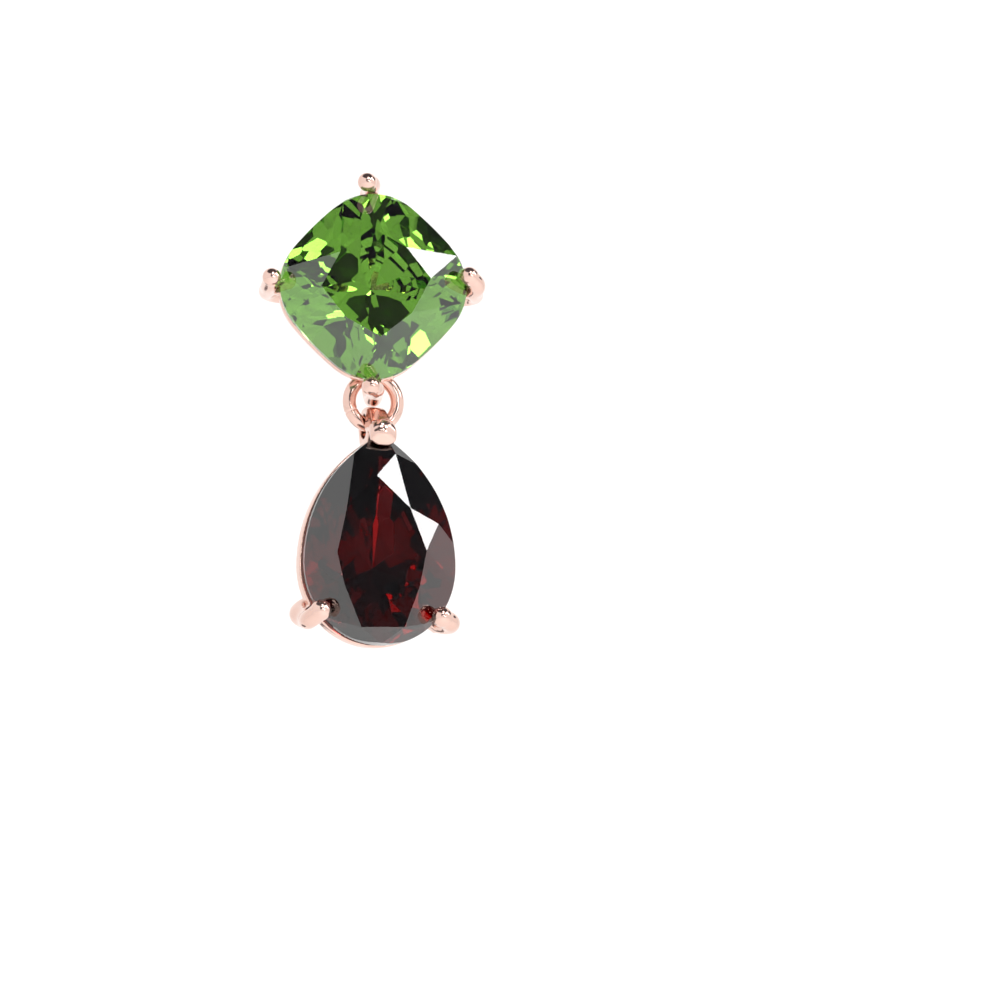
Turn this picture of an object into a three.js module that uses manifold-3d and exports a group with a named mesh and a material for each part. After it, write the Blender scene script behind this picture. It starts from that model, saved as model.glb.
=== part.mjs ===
// Drop earring: a green cushion-cut stone in a four-claw stud, a jump ring looped round the
// stud's lowest claw, and a red pear-cut stone hanging from the ring in a three-claw setting.
// Millimetres, +Z up. The stones look towards -Y and the ear post runs back along +Y.
// The origin is where the post leaves the flat back of the stud, against the ear lobe.

import * as THREE from 'three';
import { mergeVertices } from 'three/addons/utils/BufferGeometryUtils.js';
import Module from 'manifold-3d';

const wasm = await Module();
wasm.setup();

// Cushion stone, turned so that its corners point up, down, left and right.
const cushionSide = 8.0;
const cushionCornerRadius = 2.8;
const cushionSideRadius = 15.8;
const cushionCrown = 1.25;
const cushionGirdle = 0.2;
const cushionPavilion = 3.4;

// Pear stone, point upwards. Its width is taken at the widest row, where the culet lies.
const pearWidth = 7.4;
const pearShoulder = 6.2;
const pearBelly = 3.8;
const pearCrown = 1.1;
const pearGirdle = 0.2;
const pearPavilion = 3.55;

// Metal of the stud.
const prongWire = 0.8;
const prongBead = 0.9;
const prongStraight = 2.7;
const prongTipForward = 0.62;
const studRailWidth = 0.34;
const studRailDepth = 0.5;
const baseRadius = 1.2;
const baseThickness = 0.7;
const postWire = 0.8;
const postLength = 10;
const postNotchDepth = 0.1;
const postNotchLength = 0.7;
const postTipLength = 1.5;

// Jump ring, and how far it hangs turned about the vertical.
const ringOutside = 3.0;
const ringWire = 0.64;
const ringDepth = 1.85;
const ringTurn = THREE.MathUtils.degToRad(10);

// Metal of the drop.
const bailWidth = 1.0;
const bailThickness = 0.35;
const bailHole = 1.16;
const cheekDrop = 0.9;
const tipClawWidth = 1.3;
const tipClawLip = 0.66;
const tipClawThickness = 0.48;
const clawWire = 0.9;
const clawBead = 1.0;
const clawStraight = 2.4;
const clawTipForward = 0.75;
const clawAngle = THREE.MathUtils.degToRad(38);
const dropRailWidth = 0.38;
const dropRailDepth = 0.65;
const backRailShare = 0.6;
const backRailWidth = 0.7;
const backRailDepth = 0.9;
const pearForward = 1.22;
const stemBow = 0.3;

// Clearances between pieces that are not soldered.
const seatGap = 0.06;
const ringGap = 0.1;
const tipGap = 0.54;
const culetGap = 0.25;
const studRailDrop = 0.6;
const dropRailDrop = 0.68;

// Table corners and star facets of the crowns. Azimuths run from +X towards +Z, in degrees.
// reach is a share of the outline's distance that way, star the height where a star facet
// starts, as a share of the crown, between this corner and the next one.
const cushionTableCorners = [5, 95, 185, 275].flatMap((corner) => [
  { azimuth: corner, reach: 0.587, star: 0.2 },
  { azimuth: corner + 45, reach: 0.548, star: 0.2 },
]);

// across and up are shares of half the pear's width, and of its shoulder above the widest
// row or its belly below it.
const pearTableCorners = [
  { azimuth: 5, across: 0.53, up: 0.1, star: 0.5 },
  { azimuth: 34, across: 0.315, up: 0.42, star: 0.45 },
  { azimuth: 90, across: -0.13, up: 0.66, star: 0.3 },
  { azimuth: 153, across: -0.53, up: 0.39, star: 0.5 },
  { azimuth: 180, across: -0.65, up: 0.06, star: 0.5 },
  { azimuth: 200, across: -0.555, up: -0.3, star: 0.5 },
  { azimuth: 240, across: -0.33, up: -0.82, star: 0.75 },
  { azimuth: 300, across: 0.24, up: -0.8, star: 0.5 },
  { azimuth: 342, across: 0.434, up: -0.3, star: 0.5 },
];

// Rows of pavilion facets, from the girdle to the culet. Each row runs between two breaks,
// given as shares of the outline's distance and of the pavilion's depth.
const cushionPavilionRows = [
  { count: 16, turn: 11.25, outer: 1, top: 0, inner: 0.86, bottom: 0.173 },
  { count: 16, turn: 0, outer: 0.86, top: 0.173, inner: 0.64, bottom: 0.41 },
  { count: 16, turn: 11.25, outer: 0.64, top: 0.41, inner: 0.42, bottom: 0.631 },
  { count: 16, turn: 0, outer: 0.42, top: 0.631, inner: 0.2, bottom: 0.833 },
  { count: 8, turn: 22.5, outer: 0.2, top: 0.833, inner: 0, bottom: 1 },
];
const pearPavilionRows = [
  { count: 16, turn: 11.25, outer: 1, top: 0, inner: 0.84, bottom: 0.18 },
  { count: 16, turn: 0, outer: 0.84, top: 0.18, inner: 0.62, bottom: 0.42 },
  { count: 16, turn: 11.25, outer: 0.62, top: 0.42, inner: 0.4, bottom: 0.65 },
  { count: 8, turn: 0, outer: 0.4, top: 0.65, inner: 0, bottom: 1 },
];

// Where the two girdle facets below a star face, between its two table corners.
const girdleFacetShares = [0.3, 0.7];

// Where each claw of the stud stands and where its tip was pressed, with its corner's angle in
// degrees. shift moves the shank, and side the tip, counter-clockwise along the stone's edge.
// out takes the tip beyond the stone's corner, and lean the back of the shank inwards.
const prongs = [
  { corner: 0, out: 0.05, side: 0.47, shift: 0, lean: 0 },
  { corner: 90, out: 0.45, side: 0.38, shift: 0, lean: 0.15 },
  { corner: 180, out: 0.46, side: -0.23, shift: 0, lean: 0.3 },
  { corner: 270, out: 0.42, side: -0.17, shift: 0.2, lean: 0 },
];
const ringProng = prongs[3];

// The drop's two lower claws, right and left. out takes the tip beyond the stone's edge and
// along moves it counter-clockwise. Behind the rail each claw leans in and rises.
const dropClaws = [
  { side: 1, out: 0, along: -0.2, lean: 0.45, rise: 0.2 },
  { side: -1, out: 0.15, along: -0.05, lean: 0.1, rise: 0.5 },
];

// How the claw wires bend: kneeShare is how much of its side lean a tip has where the wire
// bends over, kneeForward and clawKneeForward are how much of its way forward, and footShare
// and footDrop place the bend towards the base. bridgeShare sets a claw's joint to its rail.
const kneeShare = 0.35;
const kneeForward = 0.25;
const clawKneeForward = 0.3;
const footShare = 0.62;
const footDrop = 0.3;
const bridgeShare = 0.6;

// The tip claw's front from brow to lip, seen from the side: out is a share of its thickness
// and up a share of its lip, from the pear's point. Its face is seen from the front, and
// across is a share of half its width.
const tipClawFront = [
  { out: 0.88, up: 0.15 },
  { out: 1, up: -0.55 },
  { out: 0.6, up: -1 },
];
const tipClawFace = [
  { across: -1, up: 0.3 },
  { across: -1, up: -0.55 },
  { across: -0.55, up: -0.9 },
  { across: 0, up: -1 },
  { across: 0.55, up: -0.9 },
  { across: 1, up: -0.55 },
  { across: 1, up: 0.3 },
];
const browShare = 0.75;
const kneeSide = 0.6;
const kneeTop = 0.8;
const bailShoulder = 0.25;

// Edge of the round base and tip of the post, as shares of the thickness and the radius.
const baseEdge = 0.3;
const postEdge = 0.3;

// Facets of round pieces.
const wireSides = 10;
const wireSteps = 14;
const beadSides = 12;
const ringSides = 16;
const ringWireSides = 6;
const turnedSides = 24;
const cornerArcSteps = 6;
const sideArcSteps = 4;
const pearArcSteps = 9;
const pearBellySteps = 16;

// Places that follow from the sizes. y is measured from each stone's girdle, at the crown's foot.
const studDepth = cushionGirdle + cushionPavilion + culetGap + baseThickness;
const studRailFront = cushionGirdle + studRailDrop;
const dropRailFront = pearGirdle + dropRailDrop;
const ringRadius = (ringOutside - ringWire) / 2;
const backRailFront = clawStraight + clawWire / 2 + ringGap;

// Geometry helpers.

function solidOf(geometry) {
  const bare = geometry.clone();
  bare.deleteAttribute('normal');
  bare.deleteAttribute('uv');
  const merged = mergeVertices(bare, 1e-5);
  return new wasm.Manifold(new wasm.Mesh({
    numProp: 3,
    vertProperties: Float32Array.from(merged.attributes.position.array),
    triVerts: Uint32Array.from(merged.index.array),
  }));
}

function geometryOf(solid) {
  const mesh = solid.getMesh();
  const geometry = new THREE.BufferGeometry();
  geometry.setAttribute('position', new THREE.BufferAttribute(mesh.vertProperties, 3));
  geometry.setIndex(new THREE.BufferAttribute(mesh.triVerts, 1));
  return geometry;
}

function join(geometries) {
  return geometries.map(solidOf).reduce((all, one) => all.add(one));
}

function arcPoints(centre, radius, from, to, steps) {
  const points = [];
  for (let i = 0; i < steps; i += 1) {
    const angle = from + ((to - from) * i) / steps;
    points.push(new THREE.Vector2(
      centre.x + radius * Math.cos(angle),
      centre.y + radius * Math.sin(angle),
    ));
  }
  return points;
}

// A flat outline in X and Z, made thick from the depth front to the depth back.
function slab(shape, front, back) {
  const geometry = new THREE.ExtrudeGeometry(shape, { depth: back - front, bevelEnabled: false });
  geometry.rotateX(Math.PI / 2);
  geometry.translate(0, back, 0);
  return geometry;
}

// An outline in Y and Z, made thick along X and centred on it.
function sideSlab(shape, width) {
  const geometry = new THREE.ExtrudeGeometry(shape, {
    depth: width,
    bevelEnabled: false,
    curveSegments: wireSides,
  });
  geometry.translate(0, 0, -width / 2);
  geometry.applyMatrix4(new THREE.Matrix4().makeBasis(
    new THREE.Vector3(0, 1, 0),
    new THREE.Vector3(0, 0, 1),
    new THREE.Vector3(1, 0, 0),
  ));
  return geometry;
}

// Round wire along a smooth line through the given points.
function wire(points, diameter) {
  const path = new THREE.CatmullRomCurve3(points, false, 'centripetal');
  const section = new THREE.Shape(arcPoints(new THREE.Vector2(), diameter / 2, 0, 2 * Math.PI, wireSides));
  return new THREE.ExtrudeGeometry(section, { steps: wireSteps, extrudePath: path });
}

function bead(centre, diameter) {
  const geometry = new THREE.SphereGeometry(diameter / 2, beadSides, beadSides / 2);
  geometry.translate(centre.x, centre.y, centre.z);
  return geometry;
}

// Outlines, counter-clockwise in X and Z.

function cushionOutline() {
  const half = cushionSide / 2;
  const back = cushionSideRadius - half;
  const rest = half - cushionCornerRadius;
  const slope = Math.SQRT1_2 * back;
  const out = Math.sqrt(slope * slope + 2 * back * rest + rest * rest) - slope;
  const swing = Math.atan2(out * Math.SQRT1_2, back + out * Math.SQRT1_2);
  const points = [];
  for (let quarter = 0; quarter < 4; quarter += 1) {
    const corner = (quarter * Math.PI) / 2;
    const side = corner + Math.PI / 4;
    const cornerSwing = Math.PI / 4 - swing;
    const cornerCentre = new THREE.Vector2(Math.cos(corner), Math.sin(corner)).multiplyScalar(out);
    const sideCentre = new THREE.Vector2(Math.cos(side), Math.sin(side)).multiplyScalar(-back);
    points.push(...arcPoints(cornerCentre, cushionCornerRadius, corner - cornerSwing,
      corner + cornerSwing, cornerArcSteps));
    points.push(...arcPoints(sideCentre, cushionSideRadius, side - swing, side + swing, sideArcSteps));
  }
  return points;
}

function pearOutline() {
  const half = pearWidth / 2;
  const radius = (half * half + pearShoulder * pearShoulder) / (2 * half);
  const swing = Math.asin(pearShoulder / radius);
  const right = arcPoints(new THREE.Vector2(half - radius, 0), radius, 0, swing, pearArcSteps);
  const left = arcPoints(new THREE.Vector2(radius - half, 0), radius, Math.PI - swing, Math.PI, pearArcSteps);
  const belly = arcPoints(new THREE.Vector2(), 1, Math.PI, 2 * Math.PI, pearBellySteps)
    .map((point) => new THREE.Vector2(point.x * half, point.y * pearBelly));
  return [...right, ...left, ...belly];
}

// How far an outline reaches in a direction.
function reachOf(outline, azimuth) {
  return Math.max(...outline.map((p) => p.x * Math.cos(azimuth) + p.y * Math.sin(azimuth)));
}

const mitreLimit = 0.3;

// The outline moved outwards by a distance, or inwards by a negative one.
function offsetOutline(outline, distance) {
  return outline.map((point, i) => {
    const before = outline[(i + outline.length - 1) % outline.length];
    const after = outline[(i + 1) % outline.length];
    const a = point.clone().sub(before).normalize();
    const b = after.clone().sub(point).normalize();
    const tangent = a.clone().add(b).normalize();
    const outward = new THREE.Vector2(tangent.y, -tangent.x);
    return point.clone().addScaledVector(outward, distance / Math.max(tangent.dot(a), mitreLimit));
  });
}

function scaleOutline(outline, share) {
  return outline.map((point) => point.clone().multiplyScalar(share));
}

// A closed band between an outline and the same outline moved inwards.
function rail(outline, width, front, depth) {
  const shape = new THREE.Shape(outline);
  shape.holes.push(new THREE.Path(offsetOutline(outline, -width)));
  return slab(shape, front, front + depth);
}

// Gem cutting: a convex solid is a list of faces, and each facet is one flat cut.

const hair = 1e-7;
const near = 1e-4;
const almostParallel = 0.1;

// Puts two corners in the same order for both faces that share their edge.
const rank = (p) => p.x + 3 * p.y + 7 * p.z;

function cutPoint(a, b, plane) {
  const [from, to] = rank(a) < rank(b) ? [a, b] : [b, a];
  const start = plane.distanceToPoint(from);
  const end = plane.distanceToPoint(to);
  return from.clone().lerp(to, start / (start - end));
}

function grind(faces, plane) {
  const over = (p) => plane.distanceToPoint(p) > hair;
  if (!faces.some((face) => face.some(over))) {
    return faces;
  }
  const kept = [];
  const rim = [];
  for (const face of faces) {
    const loop = [];
    face.forEach((a, i) => {
      const b = face[(i + 1) % face.length];
      const here = plane.distanceToPoint(a);
      const next = plane.distanceToPoint(b);
      if (here <= hair) {
        loop.push(a);
      }
      if ((here > hair && next < -hair) || (here < -hair && next > hair)) {
        loop.push(cutPoint(a, b, plane));
      }
    });
    rim.push(...loop.filter((p) => Math.abs(plane.distanceToPoint(p)) <= 2 * hair));
    if (loop.some((p) => plane.distanceToPoint(p) < -2 * hair)) {
      kept.push(loop);
    }
  }
  return [...kept, orderRound(rim, plane.normal)];
}

// The corners of a new facet, each once, counter-clockwise as seen from outside.
function orderRound(points, normal) {
  const once = points.filter((p, i) => points.findIndex((q) => q.distanceTo(p) < near) === i);
  const centre = new THREE.Vector3();
  once.forEach((p) => centre.addScaledVector(p, 1 / once.length));
  const u = new THREE.Vector3(1, 0, 0).cross(normal);
  if (u.length() < almostParallel) {
    u.set(0, 0, 1).cross(normal);
  }
  u.normalize();
  const v = normal.clone().cross(u);
  const angle = (p) => {
    const arm = p.clone().sub(centre);
    return Math.atan2(arm.dot(v), arm.dot(u));
  };
  return once.sort((p, q) => angle(p) - angle(q));
}

// Corners closer together than near count as one, and a facet left with two is dropped.
function facesToGeometry(faces) {
  const points = [];
  const indexOf = (p) => {
    const found = points.findIndex((q) => q.distanceTo(p) < near);
    return found < 0 ? points.push(p) - 1 : found;
  };
  const index = faces.flatMap((face) => {
    const loop = face.map(indexOf).filter((id, i, all) => id !== all[(i + 1) % all.length]);
    return loop.slice(2).flatMap((id, i) => [loop[0], loop[i + 1], id]);
  });
  const geometry = new THREE.BufferGeometry().setFromPoints(points);
  geometry.setIndex(index);
  return geometry;
}

// The rough: the outline as a prism from the table to the culet.
function rough(outline, front, back) {
  const ring = (y) => outline.map((p) => new THREE.Vector3(p.x, y, p.y));
  const table = ring(front);
  const culet = ring(back);
  const walls = outline.map((_, i) => {
    const j = (i + 1) % outline.length;
    return [table[j], table[i], culet[i], culet[j]];
  });
  return [table, culet.reverse(), ...walls];
}

// A flat cut that faces one azimuth and runs between two breaks of reach and y.
function facetPlane(azimuth, a, b) {
  const rise = b.y - a.y;
  const run = b.reach - a.reach;
  const normal = new THREE.Vector3(rise * Math.cos(azimuth), -run, rise * Math.sin(azimuth)).normalize();
  const point = new THREE.Vector3(a.reach * Math.cos(azimuth), a.y, a.reach * Math.sin(azimuth));
  return new THREE.Plane().setFromNormalAndCoplanarPoint(normal, point);
}

// Where two cuts cross at a given y.
function meetAt(p, q, y) {
  const a = -p.constant - p.normal.y * y;
  const b = -q.constant - q.normal.y * y;
  const whole = p.normal.x * q.normal.z - p.normal.z * q.normal.x;
  const x = (a * q.normal.z - p.normal.z * b) / whole;
  const z = (p.normal.x * b - a * q.normal.x) / whole;
  return new THREE.Vector3(x, y, z);
}

function planeOver(a, b, c) {
  const plane = new THREE.Plane().setFromCoplanarPoints(a, b, c);
  return plane.constant > 0 ? plane.negate() : plane;
}

// Crown: a bezel facet at each table corner, a star facet on each table edge, and two
// girdle facets below each star.
function crownCuts(outline, crown, tableCorners) {
  const cuts = [];
  const bezels = tableCorners.map(({ azimuth, point }) => facetPlane(
    azimuth,
    { reach: point.x * Math.cos(azimuth) + point.z * Math.sin(azimuth), y: -crown },
    { reach: reachOf(outline, azimuth), y: 0 },
  ));
  tableCorners.forEach((corner, i) => {
    const j = (i + 1) % tableCorners.length;
    const next = tableCorners[j];
    const nextAzimuth = next.azimuth > corner.azimuth ? next.azimuth : next.azimuth + 2 * Math.PI;
    const tip = meetAt(bezels[i], bezels[j], -crown * corner.star);
    cuts.push(bezels[i]);
    cuts.push(planeOver(corner.point, next.point, tip));
    girdleFacetShares.forEach((share) => {
      const azimuth = THREE.MathUtils.lerp(corner.azimuth, nextAzimuth, share);
      cuts.push(facetPlane(
        azimuth,
        { reach: tip.x * Math.cos(azimuth) + tip.z * Math.sin(azimuth), y: tip.y },
        { reach: reachOf(outline, azimuth), y: 0 },
      ));
    });
  });
  return cuts;
}

function pavilionCuts(outline, girdle, pavilion, rows) {
  return rows.flatMap((row) => Array.from({ length: row.count }, (_, i) => {
    const azimuth = THREE.MathUtils.degToRad(row.turn + (360 * i) / row.count);
    const reach = reachOf(outline, azimuth);
    return facetPlane(
      azimuth,
      { reach: reach * row.outer, y: girdle + pavilion * row.top },
      { reach: reach * row.inner, y: girdle + pavilion * row.bottom },
    );
  }));
}

function cutStone(outline, size, tableCorners, rows) {
  const cuts = [
    ...crownCuts(outline, size.crown, tableCorners),
    ...pavilionCuts(outline, size.girdle, size.pavilion, rows),
  ];
  const blank = rough(outline, -size.crown, size.girdle + size.pavilion);
  return facesToGeometry(cuts.reduce(grind, blank));
}

function cushionStone() {
  const outline = cushionOutline();
  const corners = cushionTableCorners.map(({ azimuth, reach, star }) => {
    const angle = THREE.MathUtils.degToRad(azimuth);
    const out = reach * reachOf(outline, angle);
    return {
      azimuth: angle,
      star,
      point: new THREE.Vector3(out * Math.cos(angle), -cushionCrown, out * Math.sin(angle)),
    };
  });
  const size = { crown: cushionCrown, girdle: cushionGirdle, pavilion: cushionPavilion };
  return cutStone(outline, size, corners, cushionPavilionRows);
}

function pearStone() {
  const corners = pearTableCorners.map(({ azimuth, across, up, star }) => ({
    azimuth: THREE.MathUtils.degToRad(azimuth),
    star,
    point: new THREE.Vector3(
      (across * pearWidth) / 2,
      -pearCrown,
      up * (up > 0 ? pearShoulder : pearBelly),
    ),
  }));
  const size = { crown: pearCrown, girdle: pearGirdle, pavilion: pearPavilion };
  return cutStone(pearOutline(), size, corners, pearPavilionRows);
}

// The stud's metal: four claws on a rail, run together at the back into a round base with
// the ear post. y is measured from the cushion's girdle.

function prongAt({ corner, out, side, shift, lean }) {
  const azimuth = THREE.MathUtils.degToRad(corner);
  const stoneCorner = reachOf(cushionOutline(), azimuth);
  const shank = stoneCorner + seatGap + prongWire / 2;
  const place = (reach, along, y) => new THREE.Vector3(
    reach * Math.cos(azimuth) - along * Math.sin(azimuth),
    y,
    reach * Math.sin(azimuth) + along * Math.cos(azimuth),
  );
  const tip = place(stoneCorner + out, side, -prongTipForward);
  const baseFront = studDepth - baseThickness;
  const path = [
    tip,
    place(shank, THREE.MathUtils.lerp(shift, side, kneeShare), -kneeForward * prongTipForward),
    place(shank, shift, studRailFront),
    place(shank - lean, shift, prongStraight),
    place(footShare * shank, footShare * shift, (prongStraight + baseFront) / 2 + footDrop * prongWire),
    place(baseRadius - prongWire / 2, 0, baseFront + baseThickness / 4),
  ];
  const bridge = new THREE.BoxGeometry(prongWire, studRailDepth, prongWire);
  bridge.rotateY(-azimuth);
  const seat = place(shank - bridgeShare * prongWire, shift, studRailFront + studRailDepth / 2);
  bridge.translate(seat.x, seat.y, seat.z);
  return [wire(path, prongWire), bead(tip, prongBead), bridge];
}

function baseAndPost() {
  const postRadius = postWire / 2;
  const notchEnd = postLength - postTipLength;
  const notchStart = notchEnd - postNotchLength;
  const profile = [
    [0, -baseThickness],
    [baseRadius - baseEdge * baseThickness, -baseThickness],
    [baseRadius, -(1 - baseEdge) * baseThickness],
    [baseRadius, 0],
    [postRadius, 0],
    [postRadius, notchStart],
    [postRadius - postNotchDepth, notchStart + postNotchDepth / 2],
    [postRadius - postNotchDepth, notchEnd - postNotchDepth / 2],
    [postRadius, notchEnd],
    [postRadius, postLength - postRadius],
    [(1 - postEdge) * postRadius, postLength - postEdge * postRadius],
    [0, postLength],
  ].map(([r, y]) => new THREE.Vector2(r, y));
  const geometry = new THREE.LatheGeometry(profile, turnedSides);
  geometry.translate(0, studDepth, 0);
  return geometry;
}

function cushionSetting() {
  return geometryOf(join([
    rail(cushionOutline(), studRailWidth, studRailFront, studRailDepth),
    ...prongs.flatMap(prongAt),
    baseAndPost(),
  ]));
}

// The jump ring lies round the lowest claw, so its centre hangs below that claw's wire.

function ringCentre() {
  const shank = reachOf(cushionOutline(), -Math.PI / 2) + seatGap + prongWire / 2;
  const wireTop = -shank + prongWire / 2 + ringGap;
  return new THREE.Vector3(ringProng.shift, ringDepth, wireTop + ringWire / 2 - ringRadius);
}

function jumpRing() {
  const geometry = new THREE.TorusGeometry(ringRadius, ringWire / 2, ringWireSides, ringSides);
  geometry.rotateX(Math.PI / 2);
  return geometry;
}

// The drop's metal. Its own origin is the middle of the ring's wire at the bottom, which
// the bail swings on. The pear's girdle stands forward of it.

const pearCentre = new THREE.Vector3(0, -pearForward, -(pearShoulder + tipGap));
const bailRadius = bailHole / 2 + bailThickness;
const beyond = 4 * bailWidth;

function roundSlab(radius, width) {
  const shape = new THREE.Shape().absarc(0, 0, radius, 0, 2 * Math.PI, false);
  return sideSlab(shape, width);
}

// The broad claw over the pear's point: its side view, cut to its front view.
function tipClaw() {
  const tip = new THREE.Vector2(pearCentre.y, pearCentre.z + pearShoulder);
  const tableTop = Math.max(...pearTableCorners.map(({ up }) => up));
  const crownRise = (tipClawLip * pearCrown) / ((1 - tableTop) * pearShoulder);
  const side = new THREE.Shape([
    new THREE.Vector2(0, bailRadius),
    new THREE.Vector2(-kneeSide * bailRadius, kneeTop * bailRadius),
    new THREE.Vector2(tip.x - browShare * tipClawThickness, tip.y + browShare * tipClawLip),
    ...tipClawFront.map(({ out, up }) => new THREE.Vector2(
      tip.x - crownRise - out * tipClawThickness,
      tip.y + up * tipClawLip,
    )),
    new THREE.Vector2(tip.x - crownRise - 2 * seatGap, tip.y - tipClawLip),
    new THREE.Vector2(tip.x - seatGap, tip.y + 2 * seatGap),
    new THREE.Vector2(tip.x + pearGirdle + seatGap, tip.y + 2 * seatGap),
    new THREE.Vector2(0, 0),
  ]);
  const face = new THREE.Shape([
    ...tipClawFace.map(({ across, up }) => new THREE.Vector2(
      (across * tipClawWidth) / 2,
      tip.y + up * tipClawLip,
    )),
    new THREE.Vector2(bailWidth / 2, bailRadius - bailShoulder),
    new THREE.Vector2(bailWidth / 2 - bailShoulder / 2, bailRadius),
    new THREE.Vector2(bailShoulder / 2 - bailWidth / 2, bailRadius),
    new THREE.Vector2(-bailWidth / 2, bailRadius - bailShoulder),
  ]);
  return solidOf(sideSlab(side, tipClawWidth)).intersect(solidOf(slab(face, -beyond, beyond)));
}

// The cheek fills the bail from the pear's point down along the back of its pavilion.
function cheek() {
  const tip = new THREE.Vector2(pearCentre.y + pearGirdle, pearCentre.z + pearShoulder);
  const row = pearPavilionRows[0];
  const slope = (pearPavilion * row.bottom) / (pearShoulder * (row.outer - row.inner));
  return sideSlab(new THREE.Shape([
    new THREE.Vector2(0, 0),
    new THREE.Vector2(tip.x + seatGap, tip.y + 2 * seatGap),
    new THREE.Vector2(tip.x + 2 * seatGap + slope * cheekDrop, tip.y - cheekDrop),
    new THREE.Vector2(bailRadius / 2, tip.y - cheekDrop),
    new THREE.Vector2(bailRadius - seatGap, 0),
  ]), bailWidth);
}

// A claw of the drop: side is 1 on the right and -1 on the left.
function dropClaw({ side, out, along, lean, rise }) {
  const azimuth = side > 0 ? -clawAngle : Math.PI + clawAngle;
  const edge = reachOf(pearOutline(), azimuth);
  const shank = edge + seatGap + clawWire / 2;
  const place = (reach, y) => new THREE.Vector3(
    reach * Math.cos(azimuth),
    y,
    reach * Math.sin(azimuth),
  ).add(pearCentre);
  const aside = new THREE.Vector3(-along * Math.sin(azimuth), 0, along * Math.cos(azimuth));
  const tip = place(edge + out, -clawTipForward).add(aside);
  const path = [
    tip,
    place(shank + seatGap, -clawKneeForward * clawTipForward),
    place(shank, dropRailFront),
    place(shank - lean, clawStraight).add(new THREE.Vector3(0, 0, rise)),
    place(backRailShare * edge - backRailWidth / 2, backRailFront + backRailDepth / 2),
  ];
  const bridge = new THREE.BoxGeometry(clawWire, dropRailDepth, clawWire);
  bridge.rotateY(-azimuth);
  const seat = place(shank - bridgeShare * clawWire, dropRailFront + dropRailDepth / 2);
  bridge.translate(seat.x, seat.y, seat.z);
  return [wire(path, clawWire), bead(tip, clawBead), bridge];
}

// The stem runs from the bail down the back to the small rail.
function dropStem() {
  const railTop = backRailShare * pearShoulder - backRailWidth / 2;
  const foot = new THREE.Vector3(0, backRailFront + backRailDepth / 2, railTop).add(pearCentre);
  const head = new THREE.Vector3(0, bailRadius / 4, -bailRadius);
  const middle = head.clone().lerp(foot, 0.5).add(new THREE.Vector3(0, stemBow, 0));
  return wire([head, middle, foot], clawWire);
}

function dropSetting() {
  const outline = pearOutline();
  const rails = [
    rail(outline, dropRailWidth, dropRailFront, dropRailDepth),
    rail(scaleOutline(outline, backRailShare), backRailWidth, backRailFront, backRailDepth),
  ];
  rails.forEach((geometry) => geometry.translate(pearCentre.x, pearCentre.y, pearCentre.z));
  const metal = join([
    ...rails,
    ...dropClaws.flatMap(dropClaw),
    dropStem(),
    cheek(),
    roundSlab(bailRadius, bailWidth),
  ]);
  return geometryOf(metal.add(tipClaw()).subtract(solidOf(roundSlab(bailHole / 2, beyond))));
}

// Assembly.

const roseGold = new THREE.MeshStandardMaterial({ color: '#d9a18c', metalness: 1, roughness: 0.15 });
const greenStone = new THREE.MeshStandardMaterial({ color: '#2f6b1e', metalness: 0, roughness: 0.05 });
const redStone = new THREE.MeshStandardMaterial({ color: '#7a1418', metalness: 0, roughness: 0.05 });

function named(name, geometry, material, position) {
  const mesh = new THREE.Mesh(geometry, material);
  mesh.name = name;
  mesh.position.copy(position);
  return mesh;
}

const centre = new THREE.Vector3();
const stud = new THREE.Group();
stud.position.set(0, -studDepth, 0);
stud.add(named('cushion_setting', cushionSetting(), roseGold, centre));
stud.add(named('cushion_stone', cushionStone(), greenStone, centre));

const drop = new THREE.Group();
drop.position.set(0, 0, -ringRadius);
drop.add(named('drop_setting', dropSetting(), roseGold, centre));
drop.add(named('pear_stone', pearStone(), redStone, pearCentre));

const hanging = new THREE.Group();
hanging.position.copy(ringCentre());
hanging.rotation.z = ringTurn;
hanging.add(named('jump_ring', jumpRing(), roseGold, centre));
hanging.add(drop);
stud.add(hanging);

const group = new THREE.Group();
group.add(stud);

export default group;
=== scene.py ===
# %% [markdown]
# # A drop earring, dressed in Blender
# The part is packed already: a stud with a green cushion-cut stone, a jump ring, and a drop
# with a red pear-cut stone. Here each solid gets the smooth metal, the crisp facets and the
# finish of the real piece. Everything is made in millimetres and put into the part's own
# frame in metres, so nothing has to be fitted afterwards.

import math

import bmesh
import bpy
from mathutils import Matrix, Vector


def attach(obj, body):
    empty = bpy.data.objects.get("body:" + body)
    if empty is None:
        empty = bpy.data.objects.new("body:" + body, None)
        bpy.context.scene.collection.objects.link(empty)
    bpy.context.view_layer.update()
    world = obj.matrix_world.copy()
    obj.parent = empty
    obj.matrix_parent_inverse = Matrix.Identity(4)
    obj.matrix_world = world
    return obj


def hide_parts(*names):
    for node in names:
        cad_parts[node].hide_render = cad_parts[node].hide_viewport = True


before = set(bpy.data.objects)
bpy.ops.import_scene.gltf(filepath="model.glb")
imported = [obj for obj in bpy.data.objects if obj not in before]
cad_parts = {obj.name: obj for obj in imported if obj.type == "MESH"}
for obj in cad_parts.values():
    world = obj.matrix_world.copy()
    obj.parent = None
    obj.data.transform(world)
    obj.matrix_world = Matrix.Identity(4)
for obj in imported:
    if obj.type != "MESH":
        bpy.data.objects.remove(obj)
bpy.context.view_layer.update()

# %% [markdown]
# ## Where the pieces stand
# Each stone is cut about its own girdle, the thin edge where crown and pavilion meet. X runs
# across, Z up and Y into the stone, so the table looks towards -Y. Four places carry these
# local shapes into the frame: the stud, the ring that hangs from its lowest claw and is
# turned a little, the drop on the ring's lowest point, and the pear in the drop. Each place
# is a matrix, so a shape is drawn upright about its own centre and only then carried over.

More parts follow.
